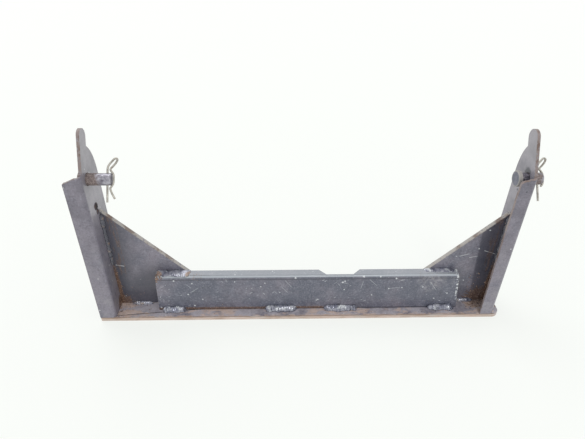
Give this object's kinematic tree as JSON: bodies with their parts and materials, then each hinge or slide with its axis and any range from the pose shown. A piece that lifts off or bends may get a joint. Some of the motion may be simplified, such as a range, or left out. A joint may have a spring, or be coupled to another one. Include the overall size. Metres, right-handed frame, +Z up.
{
  "type": "quick coupler",
  "caption": "Welded steel quick coupler frame: a base bar and notched crossbar between two bent brackets with guide fingers, headed pins and spring clips.",
  "frame": {"origin": "on the underside of the base bar, half way between the two bracket corners and half way back", "axes": "+X from the left bracket to the right one as seen from the front, +Y backwards, +Z up"},
  "size_m": [0.7467, 0.0762, 0.3545],
  "materials": {
    "paint": "semi-gloss slate paint, scratched, with rust at the edges",
    "weld": "rippled weld bead under glossy paint",
    "pin_steel": "worn steel, rust brown near the plate",
    "zinc_wire": "dull zinc spring wire with light rust"
  },
  "bodies": {
    "frame": {"base_plate": "paint", "crossbar": "paint", "left_bracket": "paint", "right_bracket": "paint", "left_gusset": "paint", "right_gusset": "paint", "weld_crossbar_foot_1": "weld", "weld_crossbar_foot_2": "weld", "weld_crossbar_foot_3": "weld", "weld_crossbar_foot_4": "weld", "weld_lip_left": "weld", "weld_lip_right": "weld", "weld_left_gusset_foot": "weld", "weld_right_gusset_foot": "weld", "weld_left_gusset_rear": "weld", "weld_right_gusset_rear": "weld", "weld_left_gusset_side": "weld", "weld_right_gusset_side": "weld", "weld_left_bracket_foot": "weld", "weld_right_bracket_foot": "weld"},
    "left_pin_body": {"left_pin": "pin_steel"},
    "right_pin_body": {"right_pin": "pin_steel"},
    "left_clip_body": {"left_clip": "zinc_wire"},
    "right_clip_body": {"right_clip": "zinc_wire"}
  },
  "joints": [
    {"name": "left_pin_slide", "type": "slide", "parent": "frame", "child": "left_pin_body", "axis": [1, 0, 0], "range_m": [-0.028, 0]},
    {"name": "right_pin_slide", "type": "slide", "parent": "frame", "child": "right_pin_body", "axis": [1, 0, 0], "range_m": [-0.009, 0.011]},
    {"name": "left_clip_pull", "type": "slide", "parent": "left_pin_body", "child": "left_clip_body", "axis": [0, 0.5878, 0.809], "range_m": [0, 0.048]},
    {"name": "right_clip_pull", "type": "slide", "parent": "right_pin_body", "child": "right_clip_body", "axis": [0, 0.6157, 0.788], "range_m": [0, 0.048]}
  ]
}
